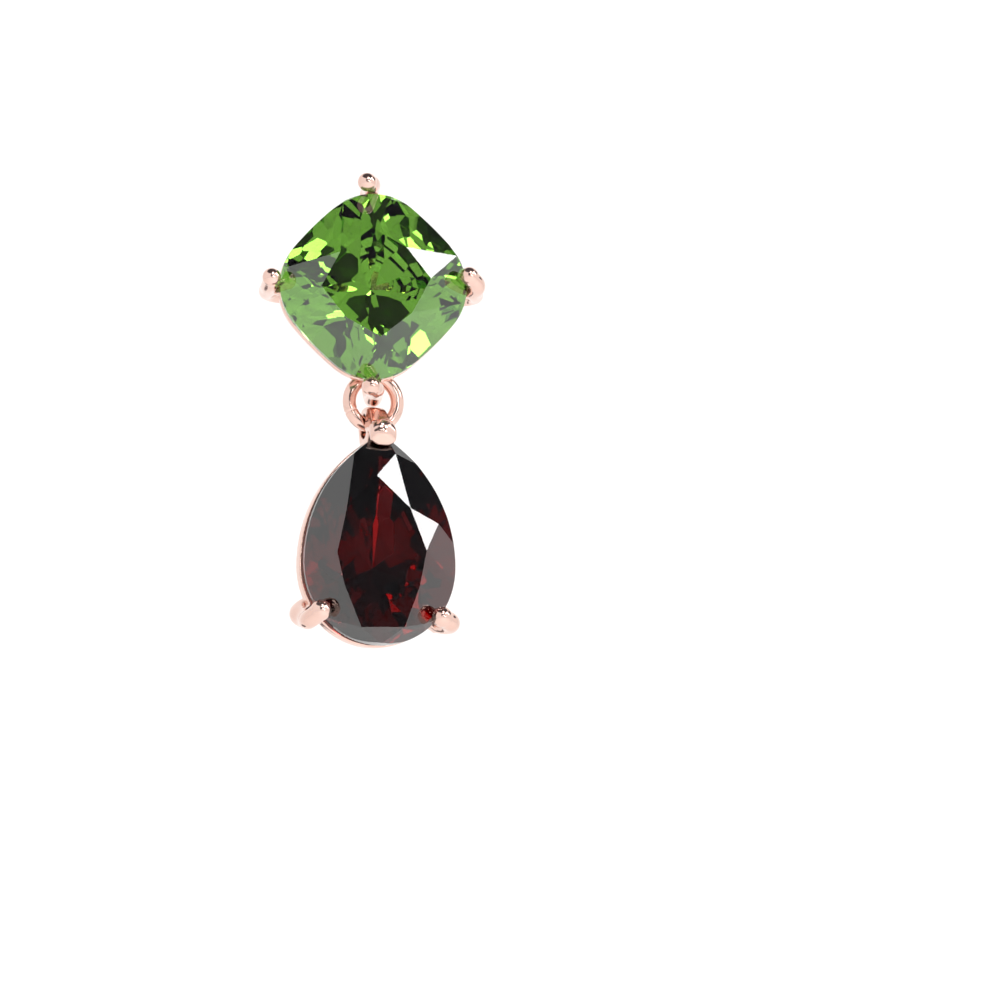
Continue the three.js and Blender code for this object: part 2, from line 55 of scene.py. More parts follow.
# %% Places in the frame
MM = 0.001
RING_TURN = math.radians(10)
RING_RADIUS = 1.18
# From the cushion's girdle back to the stud's flat back, where the frame has its origin.
BASE_BACK = 4.55
# The ring's centre from the cushion's girdle, and the pear's girdle from the bail's hole.
RING_CENTRE = Vector((0.2, 1.85, -5.245))
PEAR_FOOT = Vector((0, -1.22, -6.74))

STUD_AT = Matrix.Translation((0, -BASE_BACK, 0))
RING_AT = STUD_AT @ Matrix.Translation(RING_CENTRE) @ Matrix.Rotation(RING_TURN, 4, "Z")
DROP_AT = RING_AT @ Matrix.Translation((0, 0, -RING_RADIUS))
PEAR_AT = DROP_AT @ Matrix.Translation(PEAR_FOOT)
print("pear's girdle centre, mm:", [round(v, 2) for v in PEAR_AT.translation])

# %% [markdown]
# ## Mesh helpers
# A piece starts as one or more closed meshes in millimetres. `placed` carries the finished
# one into the frame, makes it ride on its body and lets it stand for its CAD node. Round
# forms all start from `full_turn`, the angles of one turn in even steps.

# %% Helpers for meshes
def full_turn(steps):
    return [2 * math.pi * i / steps for i in range(steps)]


def mesh_of(bm):
    """The mesh of a bmesh, with its faces turned outwards. The bmesh itself goes."""
    bmesh.ops.recalc_face_normals(bm, faces=bm.faces[:])
    mesh = bpy.data.meshes.new("part")
    bm.to_mesh(mesh)
    bm.free()
    return mesh


def prism(corners, push):
    """A closed prism: a flat outline and the same outline pushed along."""
    bm = bmesh.new()
    near = [bm.verts.new(c) for c in corners]
    far = [bm.verts.new(c + push) for c in corners]
    bm.faces.new(near)
    bm.faces.new(far[::-1])
    for i in range(len(corners)):
        j = (i + 1) % len(corners)
        bm.faces.new((near[i], far[i], far[j], near[j]))
    return mesh_of(bm)


def evaluated(obj):
    """The mesh an object has once its modifiers have run. The object itself goes."""
    depsgraph = bpy.context.evaluated_depsgraph_get()
    mesh = bpy.data.meshes.new_from_object(obj.evaluated_get(depsgraph))
    bpy.data.objects.remove(obj)
    return mesh


def linked(name, data):
    obj = bpy.data.objects.new(name, data)
    bpy.context.scene.collection.objects.link(obj)
    return obj


def placed(name, mesh, place, body, node, materials):
    mesh.transform(Matrix.Scale(MM, 4) @ place)
    mesh.materials.clear()
    for material in materials:
        mesh.materials.append(material)
    obj = linked(name, mesh)
    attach(obj, body)
    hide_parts(node)
    size = [round(v / MM, 2) for v in obj.dimensions]
    print(name, "faces:", len(mesh.polygons), "size mm:", size)


print("a full turn in five steps:", [round(t, 2) for t in full_turn(5)])

# %% [markdown]
# ## Node helper
# Materials are node trees. One function adds any node, sets its fields and its sockets, and
# links what feeds it, so a material reads as a list of what happens to the surface.
# Colours are written as the sRGB hex values that a colour picker gives, and turned to the
# linear values that light is added up in.

# %% Helpers for materials
def linear(hex_colour):
    channels = [int(hex_colour[i:i + 2], 16) / 255 for i in (1, 3, 5)]
    light = [c / 12.92 if c <= 0.04045 else ((c + 0.055) / 1.055) ** 2.4 for c in channels]
    return (*light, 1.0)


def add(tree, kind, sockets=None, links=None, **fields):
    node = tree.nodes.new(kind)
    for field, value in fields.items():
        setattr(node, field, value)
    for socket, value in (sockets or {}).items():
        node.inputs[socket].default_value = value
    for socket, source in (links or {}).items():
        tree.links.new(source, node.inputs[socket])
    return node


def fresh_material(name):
    material = bpy.data.materials.new(name)
    material.use_nodes = True
    material.node_tree.nodes.clear()
    return material, material.node_tree


print("middle grey #808080 is", [round(c, 3) for c in linear("#808080")])

# %% [markdown]
# ## Rose-gold plate
# The metal is silver or brass with a thin layer of rose gold, barrel polished and then
# buffed. Polished plate gives the eye a pink mirror: white surroundings come back as pale
# pink, and where metal mirrors metal the pink doubles to copper. It is never a perfect
# mirror. The buffing leaves a slow wave about a millimetre long, the barrel leaves tiny dents,
# and the polish is a little duller in patches.

# %% Make the rose-gold plate
def rose_gold_plate():
    material, tree = fresh_material("rose_gold_plate_polished")
    place = add(tree, "ShaderNodeTexCoord").outputs["Object"]
    # Duller patches are about 0.9 mm across.
    patches = add(tree, "ShaderNodeTexNoise", {"Scale": 1 / (0.9 * MM), "Detail": 3.0},
                  {"Vector": place})
    tone = add(tree, "ShaderNodeMix", {"A": linear("#E6BDAE"), "B": linear("#F1D2C7")},
               {"Factor": patches.outputs["Fac"]}, data_type="RGBA")
    polish = add(tree, "ShaderNodeMapRange",
                 {"From Min": 0.3, "From Max": 0.75, "To Min": 0.07, "To Max": 0.17},
                 {"Value": patches.outputs["Fac"]})
    # Buffing waves are 1.2 mm long and a few thousandths of a millimetre high. They are drawn
    # as if 0.03 mm high, at half strength, so that they show.
    waves = add(tree, "ShaderNodeTexNoise", {"Scale": 1 / (1.2 * MM), "Detail": 1.0},
                {"Vector": place})
    buffed = add(tree, "ShaderNodeBump", {"Strength": 0.5, "Distance": 0.03 * MM},
                 {"Height": waves.outputs["Fac"]})
    # Real barrel dents are under 0.05 mm. They are drawn 0.12 mm wide so that they show.
    dents = add(tree, "ShaderNodeTexVoronoi", {"Scale": 1 / (0.12 * MM)}, {"Vector": place},
                feature="SMOOTH_F1")
    dented = add(tree, "ShaderNodeBump", {"Strength": 0.22, "Distance": 0.006 * MM},
                 {"Height": dents.outputs["Distance"], "Normal": buffed.outputs["Normal"]})
    metal = add(tree, "ShaderNodeBsdfPrincipled", {"Metallic": 1.0},
                {"Base Color": tone.outputs["Result"], "Roughness": polish.outputs["Result"],
                 "Normal": dented.outputs["Normal"]})
    add(tree, "ShaderNodeOutputMaterial", links={"Surface": metal.outputs["BSDF"]})
    return material


plate = rose_gold_plate()
print("finish:", plate.name)

# %% [markdown]
# ## Cut and polished stones
# A coloured stone is clear glass to the eye, with its colour inside: light loses more of its
# other colours the further it goes. So each stone is a closed glass solid with absorption in
# its volume, and its pale flashes and dark depths come by themselves from short and long
# ways through it. What these stones are isn't known. They mirror about a tenth of what stands
# before them, more than garnet with its IOR of 1.8 to 1.9 and less than cubic zirconia with
# 2.15. An IOR of 1.98 gives the crowns their grey film at its real strength. The polish is
# nearly perfect, with faint finger smears on the facets. The girdle isn't polished as well,
# so it gets the same glass with a frosted face.

# %% Make a cut stone's glass
STONE_IOR = 1.98


def cut_glass(name, colour, density, roughness, smear):
    material, tree = fresh_material(name)
    place = add(tree, "ShaderNodeTexCoord").outputs["Object"]
    # A smear is about 1.6 mm across, with finer streaks in it.
    smears = add(tree, "ShaderNodeTexNoise", {"Scale": 1 / (1.6 * MM), "Detail": 4.0},
                 {"Vector": place})
    polish = add(tree, "ShaderNodeMapRange",
                 {"From Min": 0.45, "From Max": 0.8,
                  "To Min": roughness, "To Max": roughness + smear},
                 {"Value": smears.outputs["Fac"]})
    glass = add(tree, "ShaderNodeBsdfPrincipled",
                {"Base Color": (1, 1, 1, 1), "IOR": STONE_IOR, "Transmission Weight": 1.0},
                {"Roughness": polish.outputs["Result"]})
    colour_inside = add(tree, "ShaderNodeVolumeAbsorption",
                        {"Color": linear(colour), "Density": density})
    add(tree, "ShaderNodeOutputMaterial",
        links={"Surface": glass.outputs["BSDF"], "Volume": colour_inside.outputs["Volume"]})
    return material


# Each stone's colour inside and its density per metre.
GREEN = ("#B2DA52", 350)
RED = ("#E62A38", 1500)
# Roughness of a face, and how much a smear adds to it.
POLISHED, FROSTED = (0.0, 0.006), (0.25, 0.1)
green_facets = cut_glass("green_stone_polished", *GREEN, *POLISHED)
green_girdle = cut_glass("green_stone_girdle", *GREEN, *FROSTED)
red_facets = cut_glass("red_stone_polished", *RED, *POLISHED)
red_girdle = cut_glass("red_stone_girdle", *RED, *FROSTED)
print("glass:", green_facets.name, red_facets.name, "IOR:", STONE_IOR)

# %% [markdown]
# ## Outlines of the stones
# A cushion is a square with round corners and bowed sides, here with its corners up, down,
# left and right. A pear is a half oval below and two long arcs that meet in a point above.
# Both are drawn with fine steps, so that the girdle looks smooth.

# %% Draw the outlines
CUSHION_SIDE, CORNER_RADIUS, SIDE_RADIUS = 8.0, 2.8, 15.8
# The pear reaches the shoulder's height above its widest line, and the belly's below it.
PEAR_WIDTH, SHOULDER, BELLY = 7.4, 6.2, 3.8
CUSHION_ARC_STEPS, PEAR_ARC_STEPS, PEAR_BELLY_STEPS = 14, 24, 48


def arc(x, z, radius, start, end, steps):
    turns = (start + (end - start) * i / steps for i in range(steps))
    return [Vector((x + radius * math.cos(t), 0, z + radius * math.sin(t))) for t in turns]


def cushion_outline():
    half, back = CUSHION_SIDE / 2, SIDE_RADIUS - CUSHION_SIDE / 2
    rest, slope = half - CORNER_RADIUS, back * math.sqrt(0.5)
    out = math.sqrt(slope ** 2 + 2 * back * rest + rest ** 2) - slope
    swing = math.atan2(out * math.sqrt(0.5), back + out * math.sqrt(0.5))
    bend = math.pi / 4 - swing
    points = []
    for quarter in range(4):
        corner = quarter * math.pi / 2
        side = corner + math.pi / 4
        points += arc(out * math.cos(corner), out * math.sin(corner), CORNER_RADIUS,
                      corner - bend, corner + bend, CUSHION_ARC_STEPS)
        points += arc(-back * math.cos(side), -back * math.sin(side), SIDE_RADIUS,
                      side - swing, side + swing, CUSHION_ARC_STEPS)
    return points


def pear_outline():
    half = PEAR_WIDTH / 2
    radius = (half ** 2 + SHOULDER ** 2) / (2 * half)
    swing = math.asin(SHOULDER / radius)
    right = arc(half - radius, 0, radius, 0, swing, PEAR_ARC_STEPS)
    left = arc(radius - half, 0, radius, math.pi - swing, math.pi, PEAR_ARC_STEPS)
    half_circle = arc(0, 0, 1, math.pi, 2 * math.pi, PEAR_BELLY_STEPS)
    return right + left + [Vector((p.x * half, 0, p.z * BELLY)) for p in half_circle]


def reach(outline, turn):
    """How far an outline reaches in one direction."""
    return max(p.x * math.cos(turn) + p.z * math.sin(turn) for p in outline)


CUSHION, PEAR = cushion_outline(), pear_outline()
print("outline points:", len(CUSHION), len(PEAR))

# %% [markdown]
# ## Cutting facets
# A gem cutter grinds one flat after another onto a blank, and so does this code: the blank is
# a prism of the outline, and each facet is one plane that takes off all that lies outside
# it. Each facet is given by the way it faces and by two breaks it runs between. Modelling the
# facets corner by corner would need a long list of points, and none would be quite flat.

# %% Tools of the gem cutter
GIRDLE = 0.2
# Two girdle facets stand between each pair of bezels, at these shares of the way.
GIRDLE_SHARES = (0.3, 0.7)
# Corners nearer than a thousandth of a millimetre are one, and a corner a tenth as near to
# a plane lies on it.
WELD, ON_PLANE = 1e-3, 1e-4


def facet(turn, outer, inner):
    """A plane through two breaks, each given by its reach and its depth."""
    rise, run = inner[1] - outer[1], inner[0] - outer[0]
    normal = Vector((rise * math.cos(turn), -run, rise * math.sin(turn))).normalized()
    return Vector((outer[0] * math.cos(turn), outer[1], outer[0] * math.sin(turn))), normal


def meet(a, b, depth):
    """Where two planes cross at one depth."""
    (pa, na), (pb, nb) = a, b
    da, db = pa.dot(na) - na.y * depth, pb.dot(nb) - nb.y * depth
    whole = na.x * nb.z - na.z * nb.x
    return Vector(((da * nb.z - na.z * db) / whole, depth, (na.x * db - da * nb.x) / whole))


def grind(bm, point, normal):
    geometry = bm.verts[:] + bm.edges[:] + bm.faces[:]
    cut = bmesh.ops.bisect_plane(bm, geom=geometry, dist=ON_PLANE, plane_co=point,
                                 plane_no=normal, clear_outer=True)
    rim = [e for e in cut["geom_cut"] if isinstance(e, bmesh.types.BMEdge) and e.is_boundary]
    if rim:
        bmesh.ops.contextual_create(bm, geom=rim)


def cut_stone(outline, crown, pavilion, corners, rows):
    """corners are (turn, point on the table, height where the next star facet starts).

    rows are (facets, turn in degrees, reach and depth of its outer break, then of its inner).
    """
    blank = prism([p + Vector((0, -crown, 0)) for p in outline],
                  Vector((0, crown + GIRDLE + pavilion, 0)))
    bm = bmesh.new()
    bm.from_mesh(blank)
    bezels = [facet(turn, (p.x * math.cos(turn) + p.z * math.sin(turn), -crown),
                    (reach(outline, turn), 0)) for turn, p, _ in corners]
    cuts = list(bezels)
    for i, (turn, point, star) in enumerate(corners):
        j = (i + 1) % len(corners)
        after = corners[j][0] if corners[j][0] > turn else corners[j][0] + 2 * math.pi
        tip = meet(bezels[i], bezels[j], -crown * star)
        up = (corners[j][1] - point).cross(tip - point).normalized()
        cuts.append((point, up if up.y < 0 else -up))
        for share in GIRDLE_SHARES:
            way = turn + (after - turn) * share
            cuts.append(facet(way, (tip.x * math.cos(way) + tip.z * math.sin(way), tip.y),
                              (reach(outline, way), 0)))
    for count, first, outer, top, inner, bottom in rows:
        for i in range(count):
            way = math.radians(first + 360 * i / count)
            wide = reach(outline, way)
            cuts.append(facet(way, (wide * outer, GIRDLE + pavilion * top),
                              (wide * inner, GIRDLE + pavilion * bottom)))
    for point, normal in cuts:
        grind(bm, point, normal)
    bmesh.ops.remove_doubles(bm, verts=bm.verts[:], dist=WELD)
    open_edges = sum(not e.is_manifold for e in bm.edges)
    mesh = mesh_of(bm)
    for face in mesh.polygons:
        # Only the girdle stands square to the table. It gets the frosted glass.
        face.material_index = 1 if abs(face.normal.y) < 1e-3 else 0
    print("facets:", len(mesh.polygons), "open edges:", open_edges)
    return mesh


print("girdle facets between two bezels:", len(GIRDLE_SHARES))

# %% [markdown]
# ## The green cushion
# Its table is nearly a square on its corner, as wide as 0.59 of the stone.

# %% Cut the green cushion
CUSHION_CROWN, CUSHION_PAVILION = 1.25, 3.4
# The table is turned a little in the stone. Its corners reach less far between the claws.
TABLE_TURN = 5
TABLE_AT_CLAW, TABLE_BETWEEN = 0.587, 0.548
CUSHION_STAR = 0.2
# Sixteen facets go round, and every other row is turned by half a step.
HALF_STEP = 360 / 16 / 2


def cushion_corner(degrees):
    turn = math.radians(TABLE_TURN + degrees)
    share = TABLE_AT_CLAW if degrees % 90 == 0 else TABLE_BETWEEN
    out = share * reach(CUSHION, turn)
    return turn, Vector((out * math.cos(turn), -CUSHION_CROWN, out * math.sin(turn))), CUSHION_STAR


cushion_corners = [cushion_corner(degrees) for degrees in range(0, 360, 45)]
cushion_rows = [
    (16, HALF_STEP, 1, 0, 0.86, 0.173),
    (16, 0, 0.86, 0.173, 0.64, 0.41),
    (16, HALF_STEP, 0.64, 0.41, 0.42, 0.631),
    (16, 0, 0.42, 0.631, 0.2, 0.833),
    (8, 2 * HALF_STEP, 0.2, 0.833, 0, 1),
]
cushion_mesh = cut_stone(CUSHION, CUSHION_CROWN, CUSHION_PAVILION, cushion_corners, cushion_rows)
placed("green_cushion_stone", cushion_mesh, STUD_AT, "stud", "cushion_stone",
       [green_facets, green_girdle])

# %% [markdown]
# ## The red pear
# Its table is a long shield with nine corners. The star facets beside the table are uneven,
# as they are on the real stone, where the cutter kept the two upper right ones broad.

# %% Cut the red pear
PEAR_CROWN, PEAR_PAVILION = 1.1, 3.55
# The table's corners: the way of the bezel in degrees, the place across as a share of the
# half width and up as one of the shoulder or belly, and the next star facet's start.
pear_table = [
    (5, 0.53, 0.1, 0.5), (34, 0.315, 0.42, 0.45), (90, -0.13, 0.66, 0.3),
    (153, -0.53, 0.39, 0.5), (180, -0.65, 0.06, 0.5), (200, -0.555, -0.3, 0.5),
    (240, -0.33, -0.82, 0.75), (300, 0.24, -0.8, 0.5), (342, 0.434, -0.3, 0.5),
]


def pear_corner(degrees, sideways, up, star):
    height = up * (SHOULDER if up > 0 else BELLY)
    return math.radians(degrees), Vector((sideways * PEAR_WIDTH / 2, -PEAR_CROWN, height)), star


pear_corners = [pear_corner(*corner) for corner in pear_table]
pear_rows = [
    (16, HALF_STEP, 1, 0, 0.84, 0.18),
    (16, 0, 0.84, 0.18, 0.62, 0.42),
    (16, HALF_STEP, 0.62, 0.42, 0.4, 0.65),
    (8, 0, 0.4, 0.65, 0, 1),
]
pear_mesh = cut_stone(PEAR, PEAR_CROWN, PEAR_PAVILION, pear_corners, pear_rows)
placed("red_pear_stone", pear_mesh, PEAR_AT, "drop", "pear_stone",
       [red_facets, red_girdle])

# %% [markdown]
# ## Casting the metal
# A small setting is cast or soldered, then tumbled, and its joints flow into each other. So
# its wires, rails and beads are made one by one and then cast together: a voxel remesh turns
# the overlapping parts into one skin, and a little smoothing rounds it as tumbling does.
# The work is done in millimetres, because the remesh is too coarse for metres.

# %% Wires, beads, rails and turned parts
TURNED_STEPS = 48


def wire(points, diameter):
    """A round wire with closed ends, bent smoothly through the points."""
    curve = bpy.data.curves.new("wire", "CURVE")
    curve.dimensions = "3D"
    curve.bevel_depth, curve.bevel_resolution = diameter / 2, 8
    curve.resolution_u, curve.use_fill_caps = 16, True
    spline = curve.splines.new("BEZIER")
    spline.bezier_points.add(len(points) - 1)
    for knot, point in zip(spline.bezier_points, points):
        knot.co = point
        knot.handle_left_type = knot.handle_right_type = "AUTO"
    return evaluated(linked("wire", curve))


def bead(centre, diameter, stretch=(1, 1, 1)):
    """A melted bead: a ball, or one that is stretched across, front to back and up."""
    bm = bmesh.new()
    place = Matrix.Translation(centre) @ Matrix.Diagonal((*stretch, 1))
    bmesh.ops.create_icosphere(bm, subdivisions=4, radius=diameter / 2, matrix=place)
    return mesh_of(bm)


def shrunk(outline, distance):
    """An outline moved inwards by a distance."""
    moved = []
    for i, point in enumerate(outline):
        along = (outline[(i + 1) % len(outline)] - outline[i - 1]).normalized()
        moved.append(point - Vector((along.z, 0, -along.x)) * distance)
    return moved


def rail(outline, width, front, depth):
    """A flat band that follows an outline, as wide inwards as width and depth mm deep."""
    inner, rear = shrunk(outline, width), front + depth
    edges = ((outline, front), (outline, rear), (inner, rear), (inner, front))
    bm = bmesh.new()
    loops = [[bm.verts.new(p + Vector((0, y, 0))) for p in line] for line, y in edges]
    for k in range(4):
        a, b = loops[k], loops[(k + 1) % 4]
        for i in range(len(a)):
            bm.faces.new((a[i - 1], a[i], b[i], b[i - 1]))
    return mesh_of(bm)


def turned(profile, y):
    """A turned part about Y: profile gives radius and height, and its ends are closed flat."""
    bm = bmesh.new()
    rings = []
    for radius, height in profile:
        rings.append([bm.verts.new((radius * math.cos(t), y + height, radius * math.sin(t)))
                      for t in full_turn(TURNED_STEPS)])
    for a, b in zip(rings, rings[1:]):
        for i in range(TURNED_STEPS):
            bm.faces.new((a[i - 1], a[i], b[i], b[i - 1]))
    bm.faces.new(rings[0])
    bm.faces.new(rings[-1][::-1])
    return mesh_of(bm)


def carved(mesh, tool, operation):
    """One mesh cut by another."""
    obj, cutter = linked("work", mesh), linked("tool", tool)
    modifier = obj.modifiers.new("carve", "BOOLEAN")
    modifier.operation, modifier.object, modifier.solver = operation, cutter, "EXACT"
    result = evaluated(obj)
    bpy.data.objects.remove(cutter)
    return result


print("steps of a turned part:", TURNED_STEPS)

# %% [markdown]
# ## One skin for each casting
# Joining the parts with booleans would leave sharp seams, and real solder and cast metal
# leave none. The voxel is a small share of the thinnest wire, so that the skin follows it.
# The smoothing counts passes: a few for all metal, and more for the rounder bail and claw.

# %% The casting step
VOXEL = 0.055
TUMBLED, TUMBLED_LONG = 7, 26


def cast(parts, smoothing=TUMBLED):
    bm = bmesh.new()
    for mesh in parts:
        bm.from_mesh(mesh)
    obj = linked("casting", mesh_of(bm))
    remesh = obj.modifiers.new("cast", "REMESH")
    remesh.mode, remesh.voxel_size, remesh.use_smooth_shade = "VOXEL", VOXEL, True
    tumble = obj.modifiers.new("tumble", "SMOOTH")
    tumble.factor, tumble.iterations = 0.5, smoothing
    mesh = evaluated(obj)
    for face in mesh.polygons:
        face.use_smooth = True
    return mesh


print("voxel mm:", VOXEL)

# %% [markdown]
# ## The stud's metal
# Four round claws stand outside the stone's corners. Each comes up past the girdle, was
# pressed over by hand, so every tip leans its own way, and ends in a melted bead. A thin
# rail ties them together under the girdle, and behind the stone they run into a round base
# that carries the ear post.

# %% Make the stud's metal
CLEAR = 0.06
PRONG_WIRE, PRONG_BEAD = 0.8, 0.9
RAIL_WIDTH, RAIL_DEPTH = 0.34, 0.5
BASE_RADIUS = 1.2
# Depths behind the girdle: the beads' middle, the bend beside the girdle, the rail, the end
# of the straight shank, the knee and the foot in the base.
BEAD_DEPTH, GIRDLE_DEPTH, STUD_RAIL = -0.62, -0.155, 0.8
SHANK_DEPTH, KNEE_DEPTH, FOOT_DEPTH = 2.7, 3.515, 4.025
# The knee stands at this share of the way out. The bridge that solders a claw to the rail
# reaches inwards from the shank's middle and is twice the half width wide.
KNEE_SHARE = 0.62
BRIDGE_INWARDS, BRIDGE_HALF = 0.88, 0.32
# A claw enters its stretch beside the girdle with this share of its tip's lean aside.
LEAN_SHARE = 0.35


def prong(degrees, out, side, shift, lean):
    turn = math.radians(degrees)
    corner = reach(CUSHION, turn)
    shank = corner + CLEAR + PRONG_WIRE / 2

    def at(far, along, y):
        return Vector((far * math.cos(turn) - along * math.sin(turn), y,
                       far * math.sin(turn) + along * math.cos(turn)))

    tip = at(corner + out, side, BEAD_DEPTH)
    aside = (1 - LEAN_SHARE) * shift + LEAN_SHARE * side
    path = [tip, at(shank, aside, GIRDLE_DEPTH), at(shank, shift, STUD_RAIL),
            at(shank - lean, shift, SHANK_DEPTH),
            at(KNEE_SHARE * shank, KNEE_SHARE * shift, KNEE_DEPTH),
            at(BASE_RADIUS - PRONG_WIRE / 2, 0, FOOT_DEPTH)]
    inward = shank - BRIDGE_INWARDS
    low, high = shift - BRIDGE_HALF, shift + BRIDGE_HALF
    bridge = [at(far, along, STUD_RAIL)
              for far, along in ((inward, low), (shank, low), (shank, high), (inward, high))]
    return [wire(path, PRONG_WIRE), bead(tip, PRONG_BEAD),
            prism(bridge, Vector((0, RAIL_DEPTH, 0)))]


# Radius and place along the post, from the base's front edge to the post's tip. The notch
# near the tip is where an ear nut stops.
POST_PROFILE = [
    (0.99, -0.7), (1.12, -0.65), (BASE_RADIUS, -0.5), (BASE_RADIUS, 0), (0.4, 0), (0.4, 7.8),
    (0.3, 7.85), (0.3, 8.45), (0.4, 8.5), (0.4, 9.6), (0.36, 9.8), (0.26, 9.93), (0.12, 10),
]
# Corner in degrees, how far the tip stands out and leans aside, the shank's shift and lean.
PRONGS = [
    (0, 0.05, 0.47, 0, 0), (90, 0.45, 0.38, 0, 0.15),
    (180, 0.46, -0.23, 0, 0.3), (270, 0.42, -0.17, 0.2, 0),
]
stud_parts = [rail(CUSHION, RAIL_WIDTH, STUD_RAIL, RAIL_DEPTH), turned(POST_PROFILE, BASE_BACK)]
for claw in PRONGS:
    stud_parts += prong(*claw)
placed("stud_claws_and_post", cast(stud_parts), STUD_AT, "stud", "cushion_setting",
       [plate])

# %% [markdown]
# ## The jump ring
# A jump ring is one turn of round wire cut from a coil and closed over the claw's shank. A
# plain torus would do for the wire, but not for the seam: the two ends meet in a fine groove
# on the left. So the wire is drawn loop by loop, and the loops in the groove are thinner.

# %% Make the jump ring
RING_WIRE = 0.64
RING_STEPS, WIRE_STEPS = 160, 28
# The seam's turn, half its width as a turn, and how thin the wire is in its groove.
SEAM_TURN, SEAM_HALF, SEAM_SHARE = math.radians(203), 0.02, 0.86


def jump_ring():
    bm = bmesh.new()
    loops = []
    for turn in full_turn(RING_STEPS):
        gap = abs(math.atan2(math.sin(turn - SEAM_TURN), math.cos(turn - SEAM_TURN)))
        radius = RING_WIRE / 2 * (SEAM_SHARE if gap < SEAM_HALF else 1.0)
        loop = []
        for a in full_turn(WIRE_STEPS):
            far = RING_RADIUS + radius * math.cos(a)
            loop.append(bm.verts.new((far * math.cos(turn), radius * math.sin(a),
                                      far * math.sin(turn))))
        loops.append(loop)
    for i in range(RING_STEPS):
        before, here = loops[i - 1], loops[i]
        for k in range(WIRE_STEPS):
            bm.faces.new((before[k - 1], before[k], here[k], here[k - 1]))
    mesh = mesh_of(bm)
    for face in mesh.polygons:
        face.use_smooth = True
    return mesh


placed("jump_ring_wire", jump_ring(), RING_AT, "ring", "jump_ring", [plate])

# %% [markdown]
# ## The drop's metal
# The bail is a round loop that the ring passes through, and it grows into the broad claw that
# caps the pear's point. Two more claws hold the pear low on the left and right. A gallery rail
# follows the stone behind its girdle, a smaller rail ties the claws at the back, and a stem
# joins that rail to the bail. The broad claw is drawn twice, once from the side and once from
# the front, and what both drawings cover is the claw.

# %% Make the bail with its claw
BAIL_HOLE, BAIL_WALL, BAIL_WIDTH = 1.16, 0.35, 1.0
CLAW_WIDTH, CLAW_LIP, CLAW_THICKNESS = 1.3, 0.66, 0.48
# The cheek behind the claw ends this far below the pear's point. It follows the pear's first
# row of facets, which runs inwards by a share of the shoulder's height and back by a share
# of the pavilion.
CHEEK_DROP = 0.9
FIRST_ROW_IN, FIRST_ROW_BACK = 0.16, 0.18
# From the pear's point down to its table, as a share of the shoulder's height.
POINT_TO_TABLE = 0.34
OUTER = BAIL_HOLE / 2 + BAIL_WALL
BAIL_STEPS = 64
BAIL_CHAMFER = 0.25
# The bore runs well past the bail on both sides.
BORE_LENGTH = 4
# The pillow on the claw: its middle from the pear's point, and its size.
BROW_FORWARD, BROW_UP = 0.424, 0.12
BROW_SIZE = (1.32, 0.8, 1.16)
TIP_Y, TIP_Z = PEAR_FOOT.y, PEAR_FOOT.z + SHOULDER


def across(points, width):
    """A prism across the drop, from an outline seen from the side: back and up."""
    return prism([Vector((-width / 2, y, z)) for y, z in points], Vector((width, 0, 0)))


def round_side(diameter):
    radius = diameter / 2
    return [(radius * math.cos(t), radius * math.sin(t)) for t in full_turn(BAIL_STEPS)]


def claw_from_the_side():
    lip, thick = CLAW_LIP, CLAW_THICKNESS
    # The lip lies on the crown, so it comes forward as the crown does.
    front = TIP_Y - lip * PEAR_CROWN / (POINT_TO_TABLE * SHOULDER)
    return across([
        (0, OUTER), (-0.6 * OUTER, 0.8 * OUTER),
        (TIP_Y - 0.75 * thick, TIP_Z + 0.75 * lip),
        (front - 0.8 * thick, TIP_Z + 0.15 * lip),
        (front - 0.62 * thick, TIP_Z - 0.55 * lip),
        (front - 0.42 * thick, TIP_Z - lip), (front - 2 * CLEAR, TIP_Z - lip),
        (TIP_Y - CLEAR, TIP_Z + 2 * CLEAR), (TIP_Y + GIRDLE + CLEAR, TIP_Z + 2 * CLEAR), (0, 0),
    ], CLAW_WIDTH)


def claw_from_the_front():
    half, arm, lip = CLAW_WIDTH / 2, BAIL_WIDTH / 2, CLAW_LIP
    left = [(-half, TIP_Z + 0.3 * lip), (-half, TIP_Z - 0.55 * lip),
            (-0.55 * half, TIP_Z - 0.9 * lip)]
    top = [(BAIL_CHAMFER / 2 - arm, OUTER), (-arm, OUTER - BAIL_CHAMFER)]
    right = [(-x, z) for x, z in left[::-1] + top[::-1]]
    outline = left + [(0, TIP_Z - lip)] + right + top
    # It runs from 2 mm in front of the pear's point to 1 mm behind the bail's middle.
    return prism([Vector((x, TIP_Y - 2, z)) for x, z in outline], Vector((0, 3 - TIP_Y, 0)))


def tip_claw():
    return carved(claw_from_the_side(), claw_from_the_front(), "INTERSECT")


def brow():
    """The rounded pillow that the claw swells into over the pear's point."""
    return bead(Vector((0, TIP_Y - BROW_FORWARD, TIP_Z + BROW_UP)), 1.0, BROW_SIZE)


def bail_loop():
    return across(round_side(2 * OUTER), BAIL_WIDTH)


def bail_cheek():
    slope = PEAR_PAVILION * FIRST_ROW_BACK / (SHOULDER * FIRST_ROW_IN)
    low, behind = TIP_Z - CHEEK_DROP, TIP_Y + GIRDLE + CLEAR
    return across([(0, 0), (behind, TIP_Z + 2 * CLEAR), (behind + CLEAR + slope * CHEEK_DROP, low),
                   (OUTER / 2, low), (OUTER - CLEAR, 0)], BAIL_WIDTH)


def bail_bore():
    return across(round_side(BAIL_HOLE), BORE_LENGTH)


print("bail, mm outside:", 2 * OUTER, "hole:", BAIL_HOLE)

# %% [markdown]
# ## The drop's claws, rails and stem
# Both side claws stand at the same angle below the pear's widest line, but a jeweller pressed
# them over one after the other, so each has its own lean. The bail with its claw, the stem
# and the cheek are all bored before they are cast together, as the hole has to stay clear
# for the ring.

